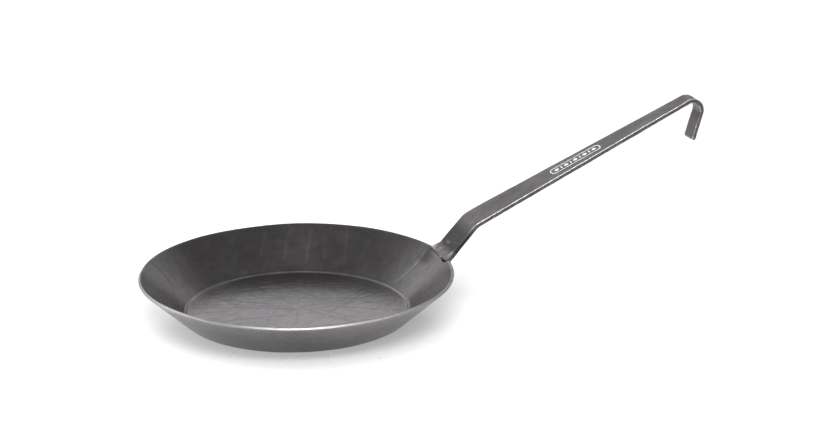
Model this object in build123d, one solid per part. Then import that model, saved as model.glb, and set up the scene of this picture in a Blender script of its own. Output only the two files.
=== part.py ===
from build123d import *
from math import asin, cos, degrees, radians, sin, tan
import os

# A hand-forged iron frying pan: a shallow round pan and one flat iron bar as its handle.
# The bar's flared foot lies over the rim and is welded to it from below. Its free end is a hook.
# Millimetres. Origin: centre of the base on the surface it stands on. +X towards the hook, +Z up.

# Pan
RIM_RADIUS = 140.0
RIM_HEIGHT = 35.5
WALL_ANGLE = 42.1
WALL_THICKNESS = 2.7
FLOOR_THICKNESS = 3.0
RECESS_RADIUS = 99.1
RECESS_DEPTH = 1.0
BASE_CORNER_RADIUS = 4.0
WALL_ROOT_RADIUS = 4.0
STEP_TOP_RADIUS = 0.6
STEP_FOOT_RADIUS = 1.0
RIM_EDGE_RADIUS = 0.4

# Handle bar: the line along the middle of its thickness, seen from the side
BAR_THICKNESS = 4.0
NECK_START = (140.41, 37.80)
NECK_ANGLE = 47.15
NECK_LENGTH = 33.3
BEND_RADIUS = 19.7
GRIP_ANGLE = 23.06
GRIP_LENGTH = 225.45
HOOK_RADIUS = 10.0
HOOK_END_ANGLE = -107.4
HOOK_LEG = 25.1

# Handle bar: its width, seen from above
NECK_WIDTH = 33.0
TAPER_START = 170.0
HOOK_WIDTH = 17.2
TAPER_END = 377.0
TIP_WIDTH = 16.5

# Flared foot of the bar, which follows the curve of the rim
FOOT_WIDTH = 43.0
FOOT_SWEEP = 40.0
FOOT_LAP = 4.0
FOOT_LIP = 0.9
FOOT_REACH = 6.0
FOOT_DEPTH = 4.0
FOOT_CORNER = 1.5
FLARE_RADIUS = 8.0

# Weld bead under the foot
BEAD_LENGTH = 42.0
BEAD_LEG = 3.2
BEAD_CROWN = 1.3

# Ornamental mark printed on the grip
MARK_CENTRE = 108.0
MARK_LENGTH = 52.0
MARK_WIDTH = 11.0
MARK_LINE = 0.9
MARK_CORNER = 2.5
MARK_THICKNESS = 0.15
DIAMOND_COUNT = 5
DIAMOND_WIDTH = 3.6
TICK_LENGTH = 1.2
TICK_WIDTH = 4.0

WALL_ALONG = Vector(cos(radians(WALL_ANGLE)), sin(radians(WALL_ANGLE)))
WALL_NORMAL = Vector(-sin(radians(WALL_ANGLE)), cos(radians(WALL_ANGLE)))
RIM_OUTER = Vector(RIM_RADIUS, RIM_HEIGHT)
RIM_INNER = RIM_OUTER + WALL_NORMAL * WALL_THICKNESS
FAR = 500.0


def section(*points, radii=0):
    """A closed face in the X-Z plane through the points, with each inner corner rounded."""
    with BuildSketch(Plane.XZ) as sketch:
        with BuildLine():
            outline = FilletPolyline(*points, radius=radii)
            Line(outline @ 1, outline @ 0)
        make_face()
    return sketch.sketch


def pan_body():
    """The pan, one sheet turned about Z: base, recessed floor, straight wall and square rim."""
    ledge_height = FLOOR_THICKNESS + RECESS_DEPTH
    wall_foot = RIM_RADIUS - RIM_HEIGHT / tan(radians(WALL_ANGLE))
    ledge_radius = RIM_INNER.X - (RIM_INNER.Y - ledge_height) / tan(radians(WALL_ANGLE))
    points = [
        (0, 0),
        (wall_foot, 0),
        RIM_OUTER,
        RIM_INNER,
        (ledge_radius, ledge_height),
        (RECESS_RADIUS, ledge_height),
        (RECESS_RADIUS - RECESS_DEPTH, FLOOR_THICKNESS),
        (0, FLOOR_THICKNESS),
    ]
    radii = [
        BASE_CORNER_RADIUS,
        RIM_EDGE_RADIUS,
        RIM_EDGE_RADIUS,
        WALL_ROOT_RADIUS,
        STEP_TOP_RADIUS,
        STEP_FOOT_RADIUS,
    ]
    return revolve(section(*points, radii=radii), Axis.Z)


def handle_bar():
    """The flat bar: neck, bend, grip and hook as one strip, tapering towards the hook."""
    half_neck = NECK_WIDTH / 2
    with BuildPart() as part:
        with BuildSketch(Plane.XZ):
            with BuildLine():
                neck = PolarLine(NECK_START, NECK_LENGTH, NECK_ANGLE)
                bend = JernArc(neck @ 1, neck % 1, BEND_RADIUS, GRIP_ANGLE - NECK_ANGLE)
                grip = PolarLine(bend @ 1, GRIP_LENGTH, GRIP_ANGLE)
                hook = JernArc(grip @ 1, grip % 1, HOOK_RADIUS, HOOK_END_ANGLE - GRIP_ANGLE)
                PolarLine(hook @ 1, HOOK_LEG, HOOK_END_ANGLE)
            trace(line_width=BAR_THICKNESS)
        extrude(amount=NECK_WIDTH, both=True)
        with BuildSketch():
            Polygon(
                (0, -half_neck),
                (TAPER_START, -half_neck),
                (TAPER_END, -HOOK_WIDTH / 2),
                (FAR, -TIP_WIDTH / 2),
                (FAR, TIP_WIDTH / 2),
                (TAPER_END, HOOK_WIDTH / 2),
                (TAPER_START, half_neck),
                (0, half_neck),
                align=None,
            )
        extrude(amount=FAR, mode=Mode.INTERSECT)
    return part.part


def flared_foot():
    """The foot: a short curved plate that follows the rim, wider than the neck that grows from it.

    The plate is swept through more than its width, then cut to the foot's outline from above.
    """
    lip = FOOT_LIP * WALL_NORMAL
    inner_end = RIM_INNER - FOOT_LAP * WALL_ALONG
    outer_end = RIM_INNER + FOOT_REACH * WALL_ALONG
    depth = FOOT_DEPTH * WALL_NORMAL
    plate = section(
        inner_end,
        inner_end + lip,
        outer_end + lip,
        outer_end - depth,
        RIM_INNER - depth,
        RIM_INNER,
    )
    half_foot = FOOT_WIDTH / 2
    half_neck = NECK_WIDTH / 2
    shoulder = RIM_RADIUS + FOOT_REACH
    with BuildSketch() as outline:
        with BuildLine():
            left = FilletPolyline(
                (RIM_RADIUS / 2, half_foot),
                (RIM_RADIUS, half_foot),
                (shoulder, half_neck),
                (FAR, half_neck),
                radius=(FOOT_CORNER, FLARE_RADIUS),
            )
            right = mirror(left, Plane.XZ)
            Line(left @ 0, right @ 0)
            Line(left @ 1, right @ 1)
        make_face()
    swept = revolve(plate, Axis.Z, FOOT_SWEEP).rotate(Axis.Z, -FOOT_SWEEP / 2)
    return swept & extrude(outline.sketch, FAR)


def handle():
    """The handle as one forging: the bar and the flared foot it ends in."""
    return handle_bar() + flared_foot()


def foot_weld():
    """The weld bead: a low round run between the outside of the wall and the foot's underside."""
    half_turn = degrees(asin(BEAD_LENGTH / 2 / RIM_RADIUS))
    wall_toe = RIM_OUTER - BEAD_LEG * WALL_ALONG
    foot_heel = RIM_INNER - FOOT_DEPTH * WALL_NORMAL
    foot_toe = foot_heel + BEAD_LEG * WALL_ALONG
    crown = foot_heel - BEAD_CROWN * WALL_NORMAL
    with BuildSketch(Plane.XZ) as profile:
        with BuildLine():
            Polyline(wall_toe, RIM_OUTER, foot_heel, foot_toe)
            ThreePointArc(foot_toe, crown, wall_toe)
        make_face()
    return revolve(profile.sketch, Axis.Z, 2 * half_turn).rotate(Axis.Z, -half_turn)


def cut_corner_plate(length, width, corner):
    """A rectangle with its four corners cut off at 45 degrees."""
    x = length / 2
    y = width / 2
    quarter = [(x, y - corner), (x - corner, y)]
    half = quarter + [(-px, py) for px, py in reversed(quarter)]
    return Polygon(*half, *[(-px, -py) for px, py in half], align=None)


def handle_mark():
    """The mark printed on the grip: a frame with cut corners around diamonds and upright ticks."""
    neck = PolarLine(NECK_START, NECK_LENGTH, NECK_ANGLE)
    bend = JernArc(neck @ 1, neck % 1, BEND_RADIUS, GRIP_ANGLE - NECK_ANGLE)
    middle = PolarLine(bend @ 1, MARK_CENTRE, GRIP_ANGLE) @ 1
    flat = Plane.XZ * Pos(middle.X, middle.Y) * Rot(0, 0, GRIP_ANGLE) * Pos(0, BAR_THICKNESS / 2)
    face = flat * Rot(-90, 0, 0)
    inner = (MARK_LENGTH - 2 * MARK_LINE, MARK_WIDTH - 2 * MARK_LINE)
    frame = cut_corner_plate(MARK_LENGTH, MARK_WIDTH, MARK_CORNER)
    frame -= cut_corner_plate(*inner, MARK_CORNER - MARK_LINE / 2)
    diamond = Rectangle(DIAMOND_WIDTH, DIAMOND_WIDTH).rotate(Axis.Z, 45)
    tick = Rectangle(TICK_LENGTH, TICK_WIDTH)
    pitch = (inner[0] - MARK_LINE) / DIAMOND_COUNT
    diamonds = GridLocations(pitch, 0, DIAMOND_COUNT, 1) * diamond
    ticks = GridLocations(pitch, 0, DIAMOND_COUNT - 1, 1) * tick
    return Compound([extrude(face * shape, MARK_THICKNESS) for shape in [frame, *diamonds, *ticks]])


NODES = {
    "pan_body": pan_body,
    "handle": handle,
    "foot_weld": foot_weld,
    "handle_mark": handle_mark,
}

os.makedirs("parts", exist_ok=True)
for name, make in NODES.items():
    export_step(make(), f"parts/{name}.step")
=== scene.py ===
from math import cos, pi, radians, sin, tan

import bpy
import numpy as np
from mathutils import Matrix, Vector


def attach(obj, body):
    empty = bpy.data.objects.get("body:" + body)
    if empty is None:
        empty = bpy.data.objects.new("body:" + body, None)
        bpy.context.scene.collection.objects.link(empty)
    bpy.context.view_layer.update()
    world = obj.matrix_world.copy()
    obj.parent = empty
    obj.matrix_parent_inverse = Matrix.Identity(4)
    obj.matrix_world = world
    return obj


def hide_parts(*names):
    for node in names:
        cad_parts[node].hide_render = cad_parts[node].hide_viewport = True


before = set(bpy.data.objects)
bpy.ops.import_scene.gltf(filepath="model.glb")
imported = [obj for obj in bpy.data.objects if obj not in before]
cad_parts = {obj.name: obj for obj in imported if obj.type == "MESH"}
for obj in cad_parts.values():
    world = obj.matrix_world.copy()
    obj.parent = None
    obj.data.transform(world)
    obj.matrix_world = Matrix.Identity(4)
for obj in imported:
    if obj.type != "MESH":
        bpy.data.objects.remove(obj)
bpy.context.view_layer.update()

# A hand-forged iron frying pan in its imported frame: +X towards the handle's hook, +Z up.
# Meshes are worked out in millimetres and written in metres. Turns about the pan start at +X.
MM = 0.001

# Pan, the CAD's dimensions
RIM_RADIUS = 140.0
RIM_HEIGHT = 35.5
WALL_ANGLE = radians(42.1)
WALL_THICKNESS = 2.7
FLOOR_HEIGHT = 3.0
LEDGE_HEIGHT = 1.0
LEDGE_RADIUS = 99.1
BASE_CORNER = 4.0
WALL_ALONG = np.array([cos(WALL_ANGLE), sin(WALL_ANGLE)])
WALL_NORMAL = np.array([-sin(WALL_ANGLE), cos(WALL_ANGLE)])
RIM_OUTER = np.array([RIM_RADIUS, RIM_HEIGHT])
RIM_INNER = RIM_OUTER + WALL_THICKNESS * WALL_NORMAL

# Pan, its finer shape
WALL_FOOT = LEDGE_RADIUS + 0.9
WALL_FOOT_SOFTNESS = 0.35
LEDGE_RISE_LENGTH = 1.5
CREST_HEIGHT = 0.08
CREST_WIDTH = 0.6
RIM_CORNER = 0.45
INNERMOST_RADIUS = 0.8
PAN_COLUMNS = 560

# Zones of the pan's section, and how much painted shade darkens each
FLOOR, WALL, RIM, OUTSIDE, UNDERSIDE = range(5)
ZONE_SHADE = np.array([0.0, 0.5, 0.0, 0.1, 0.4])

# Folds that the hammer left in the inner wall. Each is its turn about the pan at the root and
# at the rim in degrees, its bow between them, its lower and upper radius, and its strength.
WALL_FOLDS = (
    (14.5, 11.5, -3.6, 101.0, 136.0, 1.0),
    (31.3, 33.6, 0.0, 118.0, 132.0, 0.3),
    (38.4, 41.8, 0.0, 112.0, 130.0, 0.35),
    (46.9, 51.4, 0.4, 104.0, 136.0, 0.5),
    (58.3, 59.5, 0.3, 108.0, 131.0, 0.45),
    (68.0, 65.9, -0.3, 105.0, 137.0, 0.6),
    (79.4, 73.7, 0.3, 107.0, 136.0, 0.5),
    (91.5, 82.6, 0.5, 112.0, 135.0, 0.55),
    (107.0, 93.0, 0.0, 110.0, 124.0, 0.3),
    (126.2, 128.3, 0.6, 110.0, 134.0, 0.25),
    (138.6, 137.7, 0.8, 102.0, 135.0, 0.3),
    (206.0, 211.0, 0.5, 108.0, 136.0, 0.5),
    (249.0, 244.0, -0.6, 104.0, 128.0, 0.4),
    (291.0, 297.0, 0.5, 110.0, 137.0, 0.5),
    (336.0, 331.0, 0.8, 103.0, 130.0, 0.5),
)
FOLD_ROOT_RADIUS = 100.0
FOLD_WIDTH = 0.62
DENT_CENTRE = (-118.0, 60.0)
DENT_RADIUS = 21.0

# Fine lines in the cooking floor. Two in three run roughly along the sheet's rolling direction,
# and the others cross it. Turns are in radians.
LINE_COUNT = 78
LINE_REACH = 94.0
LINE_LENGTHS = (40.0, 150.0)
LINE_WIDTH = 0.68
LINE_TURNS = (0.0, 0.0, 1.35)
LINE_SCATTER = 0.32
LINE_BOW = 0.0025
ROLLING_DIRECTION = radians(-20.0)

# Handle, the CAD's dimensions
NECK_START = np.array([140.41, 37.80])
NECK_ANGLE = radians(47.15)
NECK_LENGTH = 33.3
BEND_RADIUS = 19.7
GRIP_ANGLE = radians(23.06)
GRIP_LENGTH = 225.45
HOOK_RADIUS = 10.0
HOOK_END_ANGLE = radians(-107.4)
HOOK_LEG = 25.1
BAR_THICKNESS = 4.0
NECK_WIDTH = 33.0
HOOK_WIDTH = 17.2
TIP_WIDTH = 16.5
TAPER_X = (170.0, 377.0, 391.0)

# Handle, its finer shape. Places along it are measured from the pan's inner rim edge.
NECK_ALONG = float((NECK_START - RIM_INNER) @ WALL_ALONG)
NECK_ABOVE = float((NECK_START - RIM_INNER) @ WALL_NORMAL)
BAR_EDGE = 0.6
BAR_STEP = 0.8
LAP_LENGTH = 5.2
LAP_RIGHT_SIDE = -18.0
LAP_WIDTH = 39.5
FLARE_LEFT = 5.0
FLARE_RIGHT = 1.0
TIP_ROUNDING = 1.6
MARK_PLACE = 168.0
HOOK_BEND_PLACE = 281.0
HOOK_PLACE = 292.0

# Weld bead, with its lengths along the rim and its offset to the left
BEAD_RIPPLES = 9.0
BEAD_HALF_LENGTH = 18.3
BEAD_OFFSET = 2.2
BEAD_BREADTH = 3.2
BEAD_CROWN = 1.5

# Iron where it is worn bright and where highlights are painted, in the hollows of its hammering, and
# under painted shade and darker flecks
WORN_AND_HIGHLIGHT_IRON = (0.66, 0.645, 0.62)
HOLLOW_DARK = (0.045, 0.043, 0.042)
SHADE_AND_FLECK_BLACK = (0.022, 0.022, 0.02)

# Camera: its turn about the pan, its height and its roll as angles, its distance and offsets in
# metres, and its lens and sensor in millimetres
VIEW_AZIMUTH = radians(-20.5)
VIEW_HEIGHT = radians(18.41)
VIEW_ROLL = radians(0.467)
VIEW_DISTANCE = 2.546
VIEW_ASIDE = 0.1091
VIEW_ABOVE = 0.0821
LENS = 122.6
SENSOR_WIDTH = 36.0

# Soft boxes: name, azimuth and height in degrees, distance, size, power, and whether it shows in
# reflections. Azimuth 0 is above the camera, and positive is to its right.
SOFT_BOXES = (
    ("overhead", 0.0, 80.0, 2.2, (2.6, 2.6), 58.0, False),
    ("left_key", -115.0, 42.0, 2.4, (1.6, 1.2), 32.0, False),
    ("left_box", -95.0, 32.0, 2.4, (1.8, 0.6), 7.0, True),
    ("right_box", 70.0, 46.0, 2.4, (1.8, 0.8), 8.0, True),
    ("left_fill", -35.0, 28.0, 2.6, (2.4, 0.9), 20.0, False),
    ("right_back", 115.0, 42.0, 2.4, (1.6, 1.2), 3.0, False),
    ("front_box", 6.0, 53.0, 2.2, (1.6, 0.5), 35.0, True),
)
# Brightness of the room by the sine of the height above the horizon, from 0 at and below it to
# 1 overhead, and its rise towards the camera's left
ROOM_STOPS = ((0.0, 0.26), (0.15, 0.34), (0.3, 1.34), (0.4, 1.3), (0.66, 0.52), (1.0, 0.34))
ROOM_LEFT_RISE = 0.4
FLOOR_REACH = 12.0


def smoothstep(x):
    """0 up to 0 and 1 from 1 on, with a smooth rise between."""
    x = np.clip(x, 0.0, 1.0)
    return x * x * (3.0 - 2.0 * x)


def bump_at(x, centre, width):
    """1 at the centre, falling smoothly to 0 on both sides of it."""
    return np.exp(-(((x - centre) / width) ** 2))


def noise(x, y, seed):
    """Smooth value noise between -1 and 1, one lattice cell per unit, repeating every 256."""
    table = np.random.default_rng(seed).uniform(-1.0, 1.0, (256, 256))
    column = np.floor(x).astype(int)
    row = np.floor(y).astype(int)
    u = smoothstep(x - column)
    v = smoothstep(y - row)
    left = column % 256
    right = (column + 1) % 256
    low = row % 256
    high = (row + 1) % 256
    bottom = table[left, low] * (1 - u) + table[right, low] * u
    top = table[left, high] * (1 - u) + table[right, high] * u
    return bottom * (1 - v) + top * v


def creases(x, y, size, sharpness, seed):
    """A net of fine curved lines: 1 on a line, 0 away from it."""
    wander_x = x + 0.35 * size * noise(x / size * 0.7, y / size * 0.7, seed + 1)
    wander_y = y + 0.35 * size * noise(x / size * 0.7, y / size * 0.7, seed + 2)
    value = noise(wander_x / size, wander_y / size, seed)
    return np.clip(1.0 - np.abs(value) * sharpness, 0.0, 1.0) ** 2


def make_tube(name, rings, ends, materials, layers, second_bands=(), flip=False):
    """A closed smooth-shaded piece: rings of points in millimetres, with a fan over either end.

    The ends are the middle points of the fans. A layer is its values on the rings and at the
    ends. The second bands, counted between the rings, take the second material.
    """
    stations, columns, _ = rings.shape
    count = stations * columns
    around = np.arange(columns)
    ahead = (around + 1) % columns
    base = np.arange(0, count - columns, columns)[:, None]
    corners = [base + columns + around, base + columns + ahead, base + ahead, base + around]
    quads = np.stack(corners, -1).reshape(-1, 4)
    last = count - columns
    first_fan = np.stack([np.full(columns, count), around, ahead], -1)
    last_fan = np.stack([np.full(columns, count + 1), last + ahead, last + around], -1)
    faces = quads.tolist() + first_fan.tolist() + last_fan.tolist()
    if flip:
        faces = [face[::-1] for face in faces]
    slots = np.zeros(len(faces), dtype=np.int32)
    for band in second_bands:
        slots[band * columns : (band + 1) * columns] = 1

    mesh = bpy.data.meshes.new(name)
    points = np.concatenate([rings.reshape(-1, 3), ends])
    mesh.from_pydata((points * MM).tolist(), [], faces)
    for material in materials:
        mesh.materials.append(material)
    mesh.polygons.foreach_set("material_index", slots)
    mesh.polygons.foreach_set("use_smooth", np.ones(len(faces), dtype=bool))
    for layer, (on_rings, at_ends) in layers.items():
        attribute = mesh.attributes.new(layer, "FLOAT", "POINT")
        values = np.append(on_rings.reshape(-1), at_ends).astype(np.float32)
        attribute.data.foreach_set("value", values)
    mesh.validate()
    mesh.update()
    piece = bpy.data.objects.new(name, mesh)
    bpy.context.scene.collection.objects.link(piece)
    return piece


# ---------------------------------------------------------------- pan


def inner_height(r):
    """Height of the pan's inside surface: recessed floor, raised ledge, then the straight wall."""
    slope = (RIM_INNER[1] - FLOOR_HEIGHT - LEDGE_HEIGHT) / (RIM_INNER[0] - WALL_FOOT)
    beyond = WALL_FOOT_SOFTNESS * np.logaddexp(0.0, (r - WALL_FOOT) / WALL_FOOT_SOFTNESS)
    step = LEDGE_HEIGHT * smoothstep((r - LEDGE_RADIUS + LEDGE_RISE_LENGTH) / LEDGE_RISE_LENGTH)
    crest = CREST_HEIGHT * bump_at(r, LEDGE_RADIUS + 0.2, CREST_WIDTH)
    return FLOOR_HEIGHT + step + crest + beyond * slope


def arc_points(centre, start, end, radius, count):
    """Points of an arc in the profile plane."""
    angles = np.linspace(start, end, count)
    return centre + radius * np.stack([np.cos(angles), np.sin(angles)], -1)


def pan_profile():
    """The pan's section from the floor's middle over the rim to the underside's middle, with zones."""
    floor_r = np.concatenate([np.linspace(INNERMOST_RADIUS, 96.0, 96), np.linspace(96.5, 102.8, 22)])
    floor = np.stack([floor_r, inner_height(floor_r)], -1)
    wall_r = np.linspace(104.2, RIM_INNER[0] - RIM_CORNER * WALL_ALONG[0], 24)
    wall = np.stack([wall_r, inner_height(wall_r)], -1)

    inside = RIM_INNER - RIM_CORNER * WALL_ALONG - RIM_CORNER * WALL_NORMAL
    outside = RIM_OUTER - RIM_CORNER * WALL_ALONG + RIM_CORNER * WALL_NORMAL
    top = arc_points(inside, WALL_ANGLE + pi / 2, WALL_ANGLE, RIM_CORNER, 4)[1:]
    bottom = arc_points(outside, WALL_ANGLE, WALL_ANGLE - pi / 2, RIM_CORNER, 4)
    face = np.linspace(top[-1], bottom[0], 5)[1:-1]

    foot = np.array([RIM_RADIUS - RIM_HEIGHT / tan(WALL_ANGLE), 0.0])
    tangent = BASE_CORNER * tan(WALL_ANGLE / 2)
    outer = np.linspace(bottom[-1], foot + tangent * WALL_ALONG, 14)[1:]
    centre = foot + np.array([-tangent, BASE_CORNER])
    heel = arc_points(centre, WALL_ANGLE - pi / 2, -pi / 2, BASE_CORNER, 6)[1:]
    under_r = np.linspace(heel[-1][0], INNERMOST_RADIUS, 7)[1:]
    under = np.stack([under_r, np.zeros_like(under_r)], -1)

    parts = [floor, wall, top, face, bottom, outer, heel, under]
    zones = [FLOOR, WALL, RIM, RIM, RIM, OUTSIDE, OUTSIDE, UNDERSIDE]
    zone = np.concatenate([np.full(len(part), z) for part, z in zip(parts, zones)])
    return np.concatenate(parts), zone


def floor_lines(x, y, seed):
    """The cooking floor's fine lines: up to 1 on a line, 0 away from it."""
    random = np.random.default_rng(seed)
    total = np.zeros_like(x)
    for _ in range(LINE_COUNT):
        distance = LINE_REACH * np.sqrt(random.uniform())
        place = random.uniform(0.0, 2.0 * pi)
        turn = ROLLING_DIRECTION + random.choice(LINE_TURNS) + random.normal(0.0, LINE_SCATTER)
        half = random.uniform(*LINE_LENGTHS) / 2.0
        strength = random.uniform(0.4, 1.0)
        dx = x - distance * cos(place)
        dy = y - distance * sin(place)
        along = dx * cos(turn) + dy * sin(turn)
        across = dy * cos(turn) - dx * sin(turn)
        across = across + LINE_BOW * along**2 * random.uniform(-1.0, 1.0)
        fade = smoothstep((half - np.abs(along)) / (0.3 * half))
        total = np.maximum(total, strength * fade * bump_at(across, 0.0, LINE_WIDTH))
    return total


def floor_surface(x, y):
    """The cooking floor's relief in millimetres, and how dark its lines are."""
    waves = 0.05 * noise(x / 34.0, y / 34.0, seed=11) + 0.02 * noise(x / 15.0, y / 15.0, seed=12)
    net = creases(x, y, size=19.0, sharpness=6.0, seed=21)
    lines = floor_lines(x, y, seed=31)
    return waves - 0.05 * net - 0.09 * lines, 0.85 * lines + 0.4 * net


def wall_folds(turn, r):
    """The inner wall's folds: 1 on a fold, 0 away from it. The turn is in degrees."""
    total = np.zeros_like(r)
    for root, rim, bow, low, high, strength in WALL_FOLDS:
        share = (r - FOLD_ROOT_RADIUS) / (RIM_INNER[0] - FOLD_ROOT_RADIUS)
        path = root + (rim - root) * share + 4.0 * bow * share * (1.0 - share)
        ends = smoothstep((r - low) / 4.0) * smoothstep((high - r) / 5.0)
        total = np.maximum(total, strength * ends * bump_at(turn, path, FOLD_WIDTH))
    return total


def wall_surface(x, y, turn, r):
    """The inner wall's relief in millimetres, its dark dent edge, and its bright folds and scrape."""
    folds = wall_folds(turn, r)
    dent = np.hypot(x - DENT_CENTRE[0], y - DENT_CENTRE[1])
    dent_edge = bump_at(dent, DENT_RADIUS, 1.6) * smoothstep((r - 106.0) / 6.0)
    scrape = bump_at(y, 9.0, 7.0) * bump_at(r, 134.2, 0.8) * (x > 0.0)
    relief = 0.16 * noise(turn / 11.0, r / 26.0, seed=44) + 0.05 * noise(x / 9.0, y / 9.0, seed=45)
    relief = relief + 0.15 * folds - 0.10 * smoothstep((DENT_RADIUS - dent) / 3.0)
    return relief, 0.8 * dent_edge, 0.1 * folds + 0.16 * scrape


def pan_surface(x, y, turn, r, zone):
    """How far the forged surface stands out from the smooth one, and its dark and bright marks."""
    floor_relief, floor_dark = floor_surface(x, y)
    wall_relief, wall_dark, wall_light = wall_surface(x, y, turn, r)
    on_floor = smoothstep((97.0 - r) / 3.0)
    on_wall = smoothstep((r - 101.0) / 4.0)
    inner = on_floor * floor_relief + on_wall * wall_relief
    rim = 0.05 * noise(turn / 1.3, r * 2.0, seed=63)
    outer = 0.12 * noise(turn / 11.0, r / 24.0, seed=51) + 0.03 * noise(x / 11.0, y / 11.0, seed=53)
    under = 0.16 * (1.0 - np.abs(noise(x / 26.0, y / 26.0, seed=61)))
    under = under - 0.05 * noise(x / 9.0, y / 9.0, seed=62) - 0.22
    relief = np.choose(zone, [inner, inner, rim, outer, under])
    inside = zone <= WALL
    dark = np.where(inside, on_floor * floor_dark + on_wall * wall_dark, 0.0)
    light = np.where(inside, on_wall * wall_light, 0.0)
    return relief, dark, light


def pan_mesh(iron, bare):
    """The pan as one closed sheet of rings, bent slightly out of true as hand-forged iron is."""
    profile, zone = pan_profile()
    step = np.gradient(profile, axis=0)
    normal = np.stack([-step[:, 1], step[:, 0]], -1)
    normal /= np.linalg.norm(normal, axis=1)[:, None]
    angle = np.linspace(0.0, 2.0 * pi, PAN_COLUMNS, endpoint=False)
    r, a = np.meshgrid(profile[:, 0], angle, indexing="ij")
    z, turn = np.meshgrid(profile[:, 1], angle * 180.0 / pi, indexing="ij")
    zones = np.repeat(zone[:, None], PAN_COLUMNS, axis=1)
    relief, dark, light = pan_surface(r * np.cos(a), r * np.sin(a), turn, r, zones)
    r = r + relief * normal[:, 0][:, None]
    z = np.maximum(z + relief * normal[:, 1][:, None], 0.0)

    # Out of true: the rim rises and falls and is slightly out of round, and the base stays flat
    rise = smoothstep((r - 100.0) / 40.0)
    sway = 0.35 * np.sin(2.0 * a + 0.6) + 0.2 * np.sin(5.0 * a + 2.0) + 0.1 * np.sin(11.0 * a)
    z = z + rise * sway
    r = r + rise * (0.3 * np.sin(3.0 * a + 1.1) + 0.15 * np.sin(7.0 * a))
    rings = np.stack([r * np.cos(a), r * np.sin(a), z], -1)
    ends = [[0.0, 0.0, FLOOR_HEIGHT], [0.0, 0.0, 0.0]]

    across_rim = (profile - RIM_OUTER) @ WALL_NORMAL
    on_rim = (zone == RIM) & (across_rim > 0.3) & (across_rim < WALL_THICKNESS - 0.3)
    bare_bands = np.flatnonzero(on_rim[:-1] & on_rim[1:])
    # Bright places: worn rim edges, the wall's worn folds and scrape, and a faint painted highlight on
    # the ledge's crest
    ledge = bump_at(profile[:, 0], LEDGE_RADIUS + 0.1, 0.7) * (zone <= WALL)
    lip = np.exp(-np.linalg.norm(profile - RIM_INNER, axis=1) / 0.35)
    lip = lip + np.exp(-np.linalg.norm(profile - RIM_OUTER, axis=1) / 0.35)
    wear_and_highlight = np.clip(light + (0.03 * ledge + 0.5 * lip)[:, None], 0.0, 1.0)

    # Painted shade: by zone, then in the ledge's concave corner, then on the wall beside the foot where
    # the foot shades it
    on_ledge = smoothstep((profile[:, 0] - 98.0) / 2.5)[:, None] * (zones == FLOOR)
    by_foot = bump_at(turn, 7.0, 9.0) + bump_at(turn, 367.0, 9.0)
    by_foot = by_foot * smoothstep((r - 116.0) / 12.0) * (zones == WALL)
    shade_and_flecks = np.maximum(ZONE_SHADE[zones], np.maximum(0.5 * on_ledge, 0.85 * by_foot))
    layers = {
        "wear_and_highlight": (wear_and_highlight, [0.0, 0.0]),
        "hollow": (dark, [0.0, 0.0]),
        "shade_and_flecks": (shade_and_flecks, [0.0, 0.25]),
    }
    return make_tube("forged_pan", rings, ends, [iron, bare], layers, second_bands=bare_bands)


# ---------------------------------------------------------------- handle


def centreline():
    """Points, headings and running length of the bar's middle line in the X-Z plane."""
    points = []
    headings = []
    place = NECK_START.copy()

    def run(length, angle):
        nonlocal place
        for part in np.arange(0.0, length, BAR_STEP):
            points.append(place + part * np.array([cos(angle), sin(angle)]))
            headings.append(angle)
        place = place + length * np.array([cos(angle), sin(angle)])

    def bend(radius, start, end):
        nonlocal place
        centre = place + np.array([sin(start), -cos(start)]) * radius
        count = max(int(radius * abs(end - start) / BAR_STEP * 1.5), 6)
        for angle in np.linspace(start, end, count, endpoint=False):
            points.append(centre - radius * np.array([sin(angle), -cos(angle)]))
            headings.append(angle)
        place = centre - radius * np.array([sin(end), -cos(end)])

    run(NECK_LENGTH, NECK_ANGLE)
    bend(BEND_RADIUS, NECK_ANGLE, GRIP_ANGLE)
    run(GRIP_LENGTH, GRIP_ANGLE)
    bend(HOOK_RADIUS, GRIP_ANGLE, HOOK_END_ANGLE)
    run(HOOK_LEG + BAR_STEP, HOOK_END_ANGLE)
    points = np.array(points)
    lengths = np.concatenate([[0.0], np.cumsum(np.linalg.norm(np.diff(points, axis=0), axis=1))])
    return points, np.array(headings), lengths


def handle_stations():
    """Middle points, headings and places of the bar's sections, and each one's share of the lap.

    The lap's sections all have place 0. Their share of its length sets how far down they go.
    """
    line, headings, run = centreline()
    lap = np.linspace(1.0, 0.0, 9)
    before_neck = np.concatenate([np.zeros(len(lap)), [0.06, 0.6, 1.2]])
    along_neck = np.array([cos(NECK_ANGLE), sin(NECK_ANGLE)])
    extension = NECK_START + (before_neck - NECK_ALONG)[:, None] * along_neck
    centre = np.concatenate([extension, line])
    heading = np.concatenate([np.full(len(extension), NECK_ANGLE), headings])
    place = np.concatenate([before_neck, NECK_ALONG + run])
    share = np.zeros(len(place))
    share[: len(lap)] = lap
    return centre, heading, place, share


def section_loop():
    """The bar's rounded-rectangle section: shares of its flats and of its edge radius, in order."""
    quarter = np.linspace(0.0, pi / 2, 5)
    flat = np.concatenate([[-0.95], np.linspace(-0.9, 0.9, 23), [0.95]])
    side = np.linspace(0.8, -0.8, 5)
    loop = [(x, 1.0, 0.0, 1.0) for x in flat]
    loop += [(1.0, 1.0, sin(q), cos(q)) for q in quarter]
    loop += [(1.0, y, 1.0, 0.0) for y in side]
    loop += [(1.0, -1.0, cos(q), -sin(q)) for q in quarter]
    loop += [(-x, -1.0, 0.0, -1.0) for x in flat]
    loop += [(-1.0, -1.0, -sin(q), -cos(q)) for q in quarter]
    loop += [(-1.0, -y, -1.0, 0.0) for y in side]
    loop += [(-1.0, 1.0, -cos(q), sin(q)) for q in quarter]
    return np.array(loop).T


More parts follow.
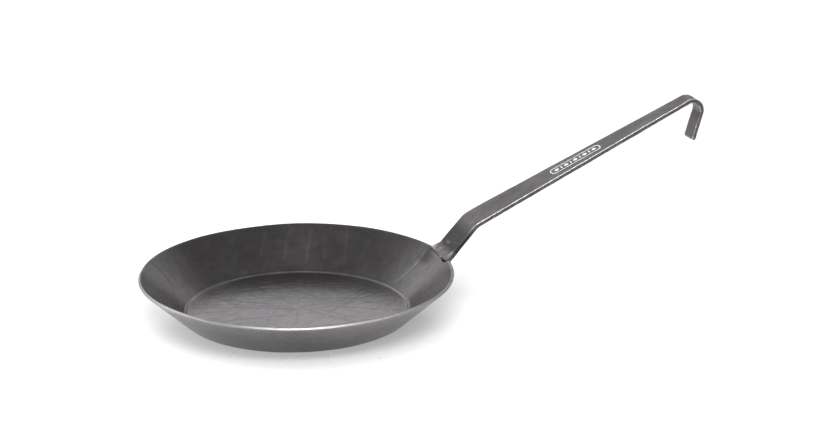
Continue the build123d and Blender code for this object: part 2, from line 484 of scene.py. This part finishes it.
def lap_length(y):
    """How far the foot reaches down the inside of the wall: most on its right, none on its left."""
    u = np.clip((y - LAP_RIGHT_SIDE) / LAP_WIDTH, 0.0, 1.0)
    right_end = 1.0 - np.exp(-u / 0.03)
    return LAP_LENGTH * (1.0 - u) ** 0.45 * right_end + 0.2 * noise(y / 2.5, 0.0 * y, seed=71)


def foot_flare(place):
    """How far the foot spreads past the bar's left and right sides, less a slight waist."""
    near = (1.0 - smoothstep((place - 0.3) / 8.0)) ** 1.3
    waist = 0.9 * bump_at(place, NECK_LENGTH + 3.0, 12.0)
    return FLARE_LEFT * near - waist, FLARE_RIGHT * near


def section_sizes(x, place, share):
    """Half width, half depth, height of the middle and shift to the left of the bar's sections."""
    near_rim = 1.0 - smoothstep((place - 4.0) / 6.0)
    top = BAR_THICKNESS / 2 + 0.15 * near_rim - 0.15 * share
    bottom = np.where(place > 0.0, -BAR_THICKNESS / 2 - 0.35 * near_rim, -NECK_ABOVE - 0.15)
    from_tip = np.clip((place.max() - place) / TIP_ROUNDING, 0.0, 1.0)
    blunt = 1.0 - np.sqrt(1.0 - (1.0 - from_tip) ** 2)
    taper = np.interp(x, TAPER_X, [NECK_WIDTH, HOOK_WIDTH, TIP_WIDTH])
    flare_left, flare_right = foot_flare(place)
    half_width = (taper + flare_left + flare_right) / 2 - 1.4 * blunt
    half_depth = (top - bottom) / 2 - 0.5 * blunt
    return half_width, half_depth, (top + bottom) / 2, (flare_left - flare_right) / 2


def bar_relief(place, across, up, near_foot, on_hook):
    """Hammering of the bar's faces, faint under the mark, and unevenness of its sides, in mm."""
    faces = 0.16 * noise(place / 17.0, across / 11.0, seed=81)
    faces = faces + 0.07 * noise(place / 5.0, across / 4.5, seed=82)
    net = creases(place, across * 1.3, size=9.0, sharpness=3.0, seed=83)
    faces = faces - 0.12 * net * (0.4 + near_foot)
    faces = faces * (1.0 - 0.85 * bump_at(place, MARK_PLACE, 40.0))
    faces = faces + 0.45 * near_foot * noise(place / 4.2, across / 5.5, seed=86)
    sides = 0.22 * noise(place / 16.0, np.sign(across) * 7.0 + 0.5, seed=84)
    sides = sides + (0.06 + 0.12 * on_hook) * noise(place / 1.4, up / 0.9, seed=85)
    return faces, sides


def bend_round_rim(centre, heading, place, up, y):
    """Points of the bar, of which the first millimetres follow the curve of the pan's wall."""
    out = np.stack([-np.sin(heading), np.cos(heading)], -1)
    side_view = centre[:, None, :] + up[:, :, None] * out[:, None, :]
    straight = np.stack([side_view[:, :, 0], y, side_view[:, :, 1]], -1)
    above = up + NECK_ABOVE
    r = RIM_INNER[0] + place * WALL_ALONG[0] + above * WALL_NORMAL[0]
    z = RIM_INNER[1] + place * WALL_ALONG[1] + above * WALL_NORMAL[1]
    turn = y / RIM_RADIUS
    curved = np.stack([r * np.cos(turn), r * np.sin(turn), z], -1)
    weight = (1.0 - smoothstep((place - 1.0) / 10.0))[:, :, None]
    return straight * (1.0 - weight) + curved * weight


def handle_wear_and_highlight(place, across, edge_x, edge_y, near_foot, on_hook):
    """Bright places: worn edges of the bar, the upper ones also brightened as a painted highlight, and
    patches on the foot.
    """
    lumps = noise(place / 4.0, across / 4.0, seed=88)
    on_grip = smoothstep((place - 26.0) / 26.0)
    on_edge = (np.abs(edge_x) > 0.0) & (np.abs(edge_y) > 0.0)
    on_upper_edge = on_edge & (edge_y > 0.0)
    # Along the upper edges the brightening is partly wear and partly a painted highlight
    upper_edge_wear_and_highlight = 0.1 + on_grip * (1.0 + 0.3 * noise(place / 7.0, across / 9.0, seed=87))
    every_edge = 0.1 * on_grip + 0.4 * on_hook + 0.4 * on_grip * (lumps > 0.0)
    patches = 0.35 * np.clip(lumps * 2.2 - 0.6, 0.0, 1.0) * near_foot
    patches = patches + 0.5 * bump_at(across, 17.5, 3.2) * bump_at(place, 1.2, 2.4)
    patches = patches + 0.7 * bump_at(across, -14.8, 1.2) * bump_at(place, 5.0, 2.6)
    wear_and_highlight = on_upper_edge * upper_edge_wear_and_highlight + on_edge * every_edge
    wear_and_highlight = wear_and_highlight + 0.1 * on_hook * (edge_y < -0.5) + patches * (edge_y > 0.5)
    return np.clip(wear_and_highlight, 0.0, 1.0)


def handle_shade_and_flecks(place, up, edge_y, on_hook):
    """Painted shade on the neck and inside the hook, painted shadow under the lap's edge, and darker
    flecks on the sides.
    """
    on_neck = smoothstep((place - 2.0) / 8.0) * smoothstep((42.0 - place) / 18.0)
    flecks = np.clip(0.5 + 0.9 * noise(place / 1.7, up / 1.4, seed=89) - 0.3 * on_hook, 0.0, 1.0)
    on_sides = flecks * (edge_y == 0.0)
    inside_hook = bump_at(place, HOOK_BEND_PLACE, 9.0) * (edge_y < -0.5)
    # Painted shade on the neck and inside the hook, and darker flecks on the sides
    shade_and_flecks = np.maximum(0.88 * on_neck, np.maximum(0.4 * on_sides, 0.3 * inside_hook))
    # Painted shadow under the lap's lip on its last two rows
    shade_and_flecks[:2] = [[1.0], [0.7]]
    return shade_and_flecks


def handle_mesh(iron):
    """The handle: foot over the rim, neck, grip and hook as one bar with hammered faces."""
    centre, heading, stations, share = handle_stations()
    half_width, half_depth, middle, shift = section_sizes(centre[:, 0], stations, share)
    edge = np.minimum(BAR_EDGE, 0.85 * half_depth)
    flat_x, flat_y, edge_x, edge_y = section_loop()
    across = flat_x * (half_width - edge)[:, None] + edge_x * edge[:, None]
    up = middle[:, None] + flat_y * (half_depth - edge)[:, None] + edge_y * edge[:, None]

    place = np.repeat(stations[:, None], len(flat_x), axis=1)
    near_foot = 1.0 - smoothstep((place - 2.0) / 16.0)
    on_hook = smoothstep((place - HOOK_PLACE) / 12.0)
    faces, sides = bar_relief(place, across, up, near_foot, on_hook)
    up = up + edge_y * np.abs(flat_y) * faces * 0.9
    across = across + edge_x * sides
    y = across + shift[:, None]
    place = np.where(place > 0.0, place, -lap_length(y) * share[:, None])

    rings = bend_round_rim(centre, heading, place, up, y)
    ends = [rings[0].mean(0), rings[-1].mean(0)]
    layers = {
        "wear_and_highlight": (handle_wear_and_highlight(place, across, edge_x, edge_y, near_foot, on_hook), [0.0, 0.3]),
        "hollow": (np.clip(-3.0 * faces, -1.0, 1.0), [0.0, 0.0]),
        "shade_and_flecks": (handle_shade_and_flecks(place, up, edge_y, on_hook), [0.0, 0.0]),
    }
    return make_tube("bar_handle", rings, ends, [iron], layers)


def weld_mesh(metal):
    """The weld bead under the foot, with the overlapping crescents that a weld leaves."""
    u, q = np.meshgrid(np.linspace(-1.0, 1.0, 150), np.linspace(0.0, pi, 17), indexing="ij")
    ripple = 0.5 + 0.5 * np.cos(2.0 * pi * (u * BEAD_RIPPLES + 0.35 * np.sin(q)))
    closing = np.sqrt(1.0 - 0.96 * u**8)
    breadth = BEAD_BREADTH * (1.0 + 0.06 * noise(u * 9.0, q * 0.0, seed=91)) * closing
    height = (BEAD_CROWN + 0.22 * ripple**2 + 0.12 * noise(u * 6.0, q, seed=92)) * closing
    along = breadth * np.cos(q)
    down = 0.5 - (height + 0.5) * np.sin(q)
    angle = (BEAD_OFFSET + BEAD_HALF_LENGTH * u) / RIM_RADIUS
    heel = RIM_OUTER - 0.3 * WALL_NORMAL
    r = heel[0] + along * WALL_ALONG[0] + down * WALL_NORMAL[0]
    z = heel[1] + along * WALL_ALONG[1] + down * WALL_NORMAL[1]
    rings = np.stack([r * np.cos(angle), r * np.sin(angle), z], -1)
    ends = [rings[0].mean(0), rings[-1].mean(0)]
    layers = {"wear_and_highlight": (0.6 * ripple**2, [0.0, 0.0]), "hollow": (1.0 - ripple, [1.0, 1.0])}
    return make_tube("weld_bead", rings, ends, [metal], layers, flip=True)


# ---------------------------------------------------------------- materials


def fill_ramp(ramp, stops):
    """Writes the stops of a colour ramp, each a position with a grey value or a colour."""
    while len(ramp.elements) < len(stops):
        ramp.elements.new(0.5)
    for element, (position, colour) in zip(ramp.elements, stops):
        rgb = colour if isinstance(colour, tuple) else (colour, colour, colour)
        element.position = position
        element.color = (*rgb, 1.0)


class Nodes:
    """A short way to write a material's node tree."""

    def __init__(self, name):
        self.material = bpy.data.materials.new(name)
        self.material.use_nodes = True
        self.tree = self.material.node_tree
        self.shader = self.tree.nodes["Principled BSDF"]
        self.place = self.tree.nodes.new("ShaderNodeTexCoord").outputs["Object"]

    def feed(self, socket, value):
        """Gives an input another node's output, a number or a colour."""
        if isinstance(value, bpy.types.NodeSocket):
            self.tree.links.new(value, socket)
        elif isinstance(value, tuple):
            socket.default_value = (*value, 1.0)
        else:
            socket.default_value = value

    def noise(self, scale, detail=4.0, roughness=0.55, stretch=(1.0, 1.0, 1.0)):
        """Noise in the object's own space, with each axis scaled by the stretch."""
        mapping = self.tree.nodes.new("ShaderNodeMapping")
        mapping.inputs["Scale"].default_value = stretch
        self.feed(mapping.inputs["Vector"], self.place)
        node = self.tree.nodes.new("ShaderNodeTexNoise")
        self.feed(node.inputs["Vector"], mapping.outputs["Vector"])
        self.feed(node.inputs["Scale"], scale)
        self.feed(node.inputs["Detail"], detail)
        self.feed(node.inputs["Roughness"], roughness)
        return node.outputs["Fac"]

    def ramp(self, source, *stops):
        """Turns a value into a grey or a colour."""
        node = self.tree.nodes.new("ShaderNodeValToRGB")
        fill_ramp(node.color_ramp, stops)
        self.feed(node.inputs["Fac"], source)
        return node.outputs["Color"]

    def mix(self, factor, first, second, blend="MIX"):
        """Mixes two colours. A Mix node's colours are its inputs 6 and 7 and its output 2."""
        node = self.tree.nodes.new("ShaderNodeMix")
        node.data_type = "RGBA"
        node.blend_type = blend
        self.feed(node.inputs[0], factor)
        self.feed(node.inputs[6], first)
        self.feed(node.inputs[7], second)
        return node.outputs[2]

    def product(self, first, second):
        """Multiplies two values and keeps the result between 0 and 1."""
        node = self.tree.nodes.new("ShaderNodeMath")
        node.operation = "MULTIPLY"
        node.use_clamp = True
        self.feed(node.inputs[0], first)
        self.feed(node.inputs[1], second)
        return node.outputs[0]

    def layer(self, name):
        """A per-vertex layer of the mesh."""
        node = self.tree.nodes.new("ShaderNodeAttribute")
        node.attribute_name = name
        return node.outputs["Fac"]

    def bumps(self, *heights):
        """Chains bump nodes, each a height with its strength and its depth in metres."""
        normal = None
        for height, strength, depth in heights:
            node = self.tree.nodes.new("ShaderNodeBump")
            self.feed(node.inputs["Strength"], strength)
            self.feed(node.inputs["Distance"], depth)
            self.feed(node.inputs["Height"], height)
            if normal is not None:
                self.feed(node.inputs["Normal"], normal)
            normal = node.outputs["Normal"]
        self.feed(self.shader.inputs["Normal"], normal)

    def finish(self, colour, roughness, metallic):
        """Joins up the shader and gives the material."""
        self.feed(self.shader.inputs["Base Color"], colour)
        self.feed(self.shader.inputs["Roughness"], roughness)
        self.feed(self.shader.inputs["Metallic"], metallic)
        return self.material


def forged_iron(name, dark, light, rough):
    """Hot-forged iron: dark scale with heat tints, fine hammer texture, bright worn places with some
    painted highlights, and painted shade with darker flecks.
    """
    n = Nodes(name)
    cloud = n.noise(14.0, 5.0, 0.6)
    tint = n.noise(9.0, 2.0, 0.5, (1.0, 1.4, 1.0))
    grain = n.noise(420.0, 3.0, 0.6)
    speck = n.noise(150.0, 3.0, 0.6)
    blue = (0.488, 0.495, 0.495)
    violet = (0.503, 0.493, 0.505)
    straw = (0.535, 0.488, 0.508)
    base = n.ramp(cloud, (0.32, dark), (0.68, light))
    base = n.mix(0.8, base, n.ramp(tint, (0.38, blue), (0.5, violet), (0.62, straw)), "OVERLAY")
    base = n.mix(0.22, base, n.ramp(speck, (0.35, 0.25), (0.65, 0.75)), "OVERLAY")
    base = n.mix(n.product(n.layer("hollow"), 0.45), base, HOLLOW_DARK)
    # Painted shade on the pan's walls, outside, ledge corner and beside the foot, and on the handle's
    # neck, lap end and hook; darker flecks on the handle's sides
    base = n.mix(n.layer("shade_and_flecks"), base, SHADE_AND_FLECK_BLACK)
    broken = n.ramp(n.noise(260.0, 4.0, 0.7), (0.34, 0.45), (0.5, 1.0))
    # Worn bright places, with painted highlights along the handle's upper edges and on the pan's ledge
    # crest
    base = n.mix(n.product(n.layer("wear_and_highlight"), broken), base, WORN_AND_HIGHLIGHT_IRON)
    patchy = n.ramp(n.noise(32.0, 5.0, 0.65), (0.3, rough - 0.02), (0.7, rough + 0.03))
    n.bumps((grain, 0.05, 0.0003), (speck, 0.06, 0.0005))
    return n.finish(base, patchy, 1.0)


def ground_steel(name):
    """Bare steel left by grinding: bright, with fine scratches and darker nicks."""
    n = Nodes(name)
    scratches = n.noise(900.0, 3.0, 0.7, (1.0, 1.0, 0.15))
    nicks = n.noise(120.0, 5.0, 0.7)
    nicked = (0.21, 0.205, 0.205)
    dull = (0.31, 0.305, 0.31)
    clean = (0.37, 0.36, 0.365)
    base = n.ramp(nicks, (0.26, nicked), (0.38, dull), (0.8, clean))
    base = n.mix(n.layer("wear_and_highlight"), base, (0.64, 0.63, 0.63))
    rough = n.ramp(scratches, (0.3, 0.36), (0.7, 0.5))
    n.bumps((scratches, 0.2, 0.0002), (nicks, 0.2, 0.0004))
    return n.finish(base, rough, 1.0)


def weld_metal(name):
    """Brushed weld metal, brighter on the crests of its ripples."""
    n = Nodes(name)
    grain = n.noise(240.0, 4.0, 0.6)
    base = n.ramp(grain, (0.3, (0.13, 0.125, 0.12)), (0.7, (0.24, 0.23, 0.22)))
    base = n.mix(n.layer("wear_and_highlight"), base, (0.42, 0.4, 0.38))
    rough = n.ramp(n.noise(80.0), (0.3, 0.35), (0.7, 0.6))
    n.bumps((grain, 0.3, 0.0003))
    return n.finish(base, rough, 0.85)


def mark_print(name):
    """Pale print, rubbed thin where the hammered iron stands proud."""
    n = Nodes(name)
    rubbed = n.noise(520.0, 5.0, 0.7)
    thin = (0.24, 0.235, 0.23)
    worn = (0.44, 0.43, 0.425)
    full = (0.54, 0.53, 0.52)
    base = n.ramp(rubbed, (0.36, thin), (0.5, worn), (0.8, full))
    rough = n.ramp(n.noise(200.0), (0.3, 0.45), (0.7, 0.65))
    n.bumps((rubbed, 0.2, 0.0001))
    return n.finish(base, rough, 0.0)


def pale_floor(name):
    """A white sweep that glows a little, so that the ground stays pale up to the horizon."""
    n = Nodes(name)
    tone = n.ramp(n.noise(2.0, 3.0), (0.3, 0.39), (0.7, 0.41))
    rough = n.ramp(n.noise(6.0, 3.0), (0.3, 0.24), (0.7, 0.3))
    n.feed(n.shader.inputs["Specular IOR Level"], 0.3)
    n.feed(n.shader.inputs["Emission Color"], (1.0, 1.0, 1.0))
    n.feed(n.shader.inputs["Emission Strength"], 0.31)
    return n.finish(tone, rough, 0.0)


# ---------------------------------------------------------------- stage


def make_camera():
    """Looks along +Y turned by the azimuth, a little past the pan so that the handle fits beside it."""
    right = Vector((1.0, 0.0, 0.0))
    up = Vector((0.0, sin(VIEW_HEIGHT), cos(VIEW_HEIGHT)))
    forward = Vector((0.0, cos(VIEW_HEIGHT), -sin(VIEW_HEIGHT)))
    rolled_right = cos(VIEW_ROLL) * right - sin(VIEW_ROLL) * up
    rolled_up = sin(VIEW_ROLL) * right + cos(VIEW_ROLL) * up
    place = VIEW_ASIDE * rolled_right + VIEW_ABOVE * rolled_up - VIEW_DISTANCE * forward
    turn = Matrix.Rotation(VIEW_AZIMUTH, 4, "Z")
    axes = Matrix((rolled_right, rolled_up, -forward)).transposed().to_4x4()
    data = bpy.data.cameras.new("camera")
    data.lens = LENS
    data.sensor_width = SENSOR_WIDTH
    camera = bpy.data.objects.new("camera", data)
    camera.matrix_world = turn @ Matrix.Translation(place) @ axes
    bpy.context.scene.collection.objects.link(camera)
    bpy.context.scene.camera = camera


def make_floor():
    """The ground that the pan stands on. It isn't part of the object."""
    near = -FLOOR_REACH
    far = FLOOR_REACH
    corners = [(near, near, 0.0), (far, near, 0.0), (far, far, 0.0), (near, far, 0.0)]
    mesh = bpy.data.meshes.new("floor")
    mesh.from_pydata(corners, [], [(0, 1, 2, 3)])
    mesh.materials.append(pale_floor("floor_material"))
    floor = bpy.data.objects.new("floor", mesh)
    bpy.context.scene.collection.objects.link(floor)


def make_soft_box(name, azimuth, height, distance, size, power, in_reflections):
    """A rectangular light aimed at the pan's middle."""
    turn = VIEW_AZIMUTH + radians(azimuth)
    level = cos(radians(height))
    out = Vector((sin(turn) * level, -cos(turn) * level, sin(radians(height))))
    data = bpy.data.lights.new(name, "AREA")
    data.shape = "RECTANGLE"
    data.size = size[0]
    data.size_y = size[1]
    data.energy = power
    aim = out.to_track_quat("Z", "Y").to_matrix().to_4x4()
    light = bpy.data.objects.new(name, data)
    light.matrix_world = Matrix.Translation(out * distance) @ aim
    light.visible_glossy = in_reflections
    bpy.context.scene.collection.objects.link(light)


def make_room():
    """The surroundings: a bright band low above a dim horizon, dim overhead, brighter on the left."""
    world = bpy.data.worlds.new("studio")
    bpy.context.scene.world = world
    world.use_nodes = True
    tree = world.node_tree
    background = tree.nodes["Background"]
    direction = tree.nodes.new("ShaderNodeTexCoord").outputs["Generated"]
    split = tree.nodes.new("ShaderNodeSeparateXYZ")
    ramp = tree.nodes.new("ShaderNodeValToRGB")
    fill_ramp(ramp.color_ramp, ROOM_STOPS)
    tree.links.new(direction, split.inputs["Vector"])
    tree.links.new(split.outputs["Z"], ramp.inputs["Fac"])
    tree.links.new(ramp.outputs["Color"], background.inputs["Color"])
    leftness = tree.nodes.new("ShaderNodeVectorMath")
    leftness.operation = "DOT_PRODUCT"
    leftness.inputs[1].default_value = (-cos(VIEW_AZIMUTH), -sin(VIEW_AZIMUTH), 0.0)
    strength = tree.nodes.new("ShaderNodeMath")
    strength.operation = "MULTIPLY_ADD"
    strength.inputs[1].default_value = ROOM_LEFT_RISE
    strength.inputs[2].default_value = 1.0
    tree.links.new(direction, leftness.inputs[0])
    tree.links.new(leftness.outputs["Value"], strength.inputs[0])
    tree.links.new(strength.outputs["Value"], background.inputs["Strength"])


bpy.context.scene.view_settings.view_transform = "Standard"
make_camera()
make_floor()
make_room()
for soft_box in SOFT_BOXES:
    make_soft_box(*soft_box)

iron = forged_iron("forged_iron", (0.152, 0.146, 0.152), (0.207, 0.2, 0.206), 0.25)
handle_iron = forged_iron("handle_iron", (0.109, 0.106, 0.105), (0.149, 0.145, 0.143), 0.34)
bare = ground_steel("bare_rim")

pieces = [
    (pan_mesh(iron, bare), "pan_body", "forged_iron"),
    (handle_mesh(handle_iron), "handle", "handle_iron"),
    (weld_mesh(weld_metal("weld_metal")), "foot_weld", "weld_metal"),
]
for piece, node, slot in pieces:
    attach(piece, "root")
    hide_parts(node)
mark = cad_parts["handle_mark"]
mark.data.materials.clear()
mark.data.materials.append(mark_print("mark_print"))
